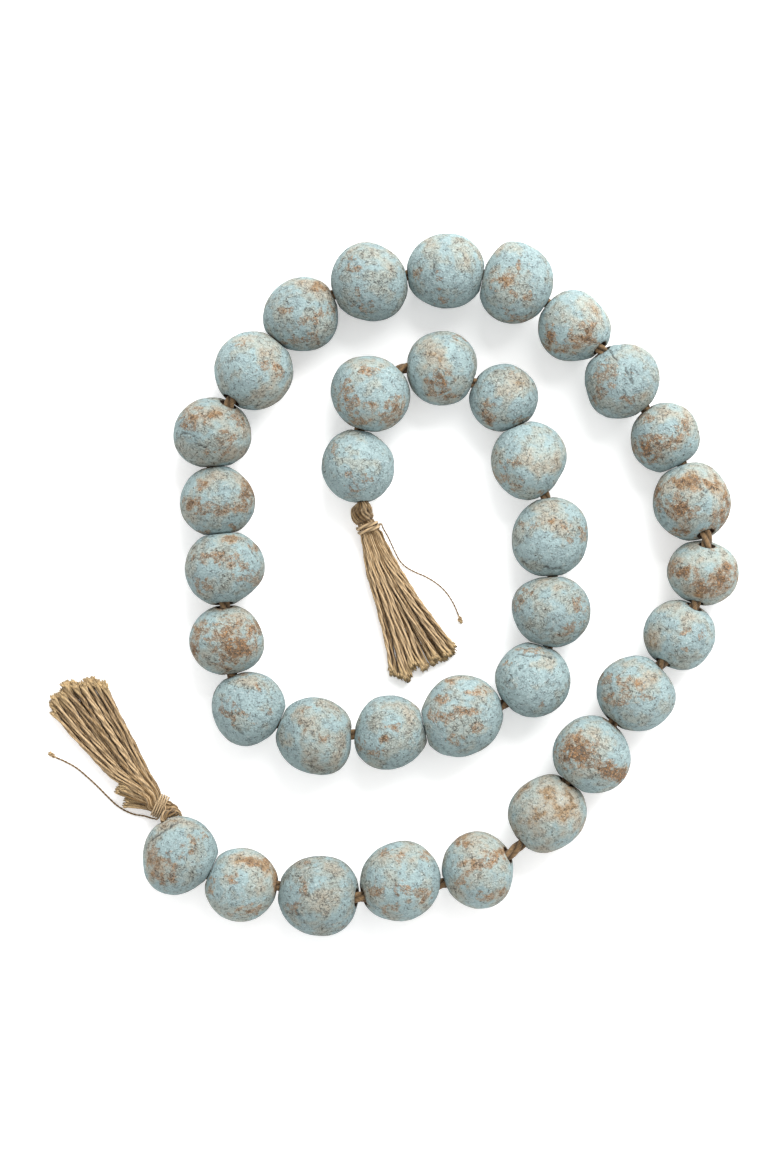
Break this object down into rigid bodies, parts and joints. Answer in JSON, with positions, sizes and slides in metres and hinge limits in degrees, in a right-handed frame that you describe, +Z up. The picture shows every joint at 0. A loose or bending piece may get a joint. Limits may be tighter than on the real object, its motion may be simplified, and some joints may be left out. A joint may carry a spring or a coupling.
{
  "type": "ceramic bead garland",
  "caption": "Strand of hand-rolled ceramic beads on a twisted jute cord with a jute tassel at each end, laid out in an open spiral.",
  "frame": {"origin": "on the surface the garland lies on, under the middle of the spiral's overall width and depth", "axes": "+Z up from the surface; +Y from the lowest beads of the outer turn, beside the outer tassel, towards the top of the spiral; +X towards the side away from the outer tassel"},
  "size_m": [0.3615, 0.3654, 0.0404],
  "materials": {
    "washed_clay": "matte chalky blue wash over terracotta",
    "natural_jute": "matte twisted jute yarn",
    "brown_cord": "matte twisted jute cord"
  },
  "bodies": {
    "root": {"bead_01": "washed_clay", "bead_02": "washed_clay", "bead_03": "washed_clay", "bead_04": "washed_clay", "bead_05": "washed_clay", "bead_06": "washed_clay", "bead_07": "washed_clay", "bead_08": "washed_clay", "bead_09": "washed_clay", "bead_10": "washed_clay", "bead_11": "washed_clay", "bead_12": "washed_clay", "bead_13": "washed_clay", "bead_14": "washed_clay", "bead_15": "washed_clay", "bead_16": "washed_clay", "bead_17": "washed_clay", "bead_18": "washed_clay", "bead_19": "washed_clay", "bead_20": "washed_clay", "bead_21": "washed_clay", "bead_22": "washed_clay", "bead_23": "washed_clay", "bead_24": "washed_clay", "bead_25": "washed_clay", "bead_26": "washed_clay", "bead_27": "washed_clay", "bead_28": "washed_clay", "bead_29": "washed_clay", "bead_30": "washed_clay", "bead_31": "washed_clay", "bead_32": "washed_clay", "bead_33": "washed_clay", "bead_34": "washed_clay", "bead_35": "washed_clay", "core_cord": "brown_cord", "tassel_inner": "natural_jute", "tassel_outer": "natural_jute", "binding_inner": "natural_jute", "binding_outer": "natural_jute", "tie_tail_inner": "natural_jute", "tie_tail_outer": "natural_jute", "tie_knot_inner": "natural_jute", "tie_knot_outer": "natural_jute"}
  },
  "joints": []
}
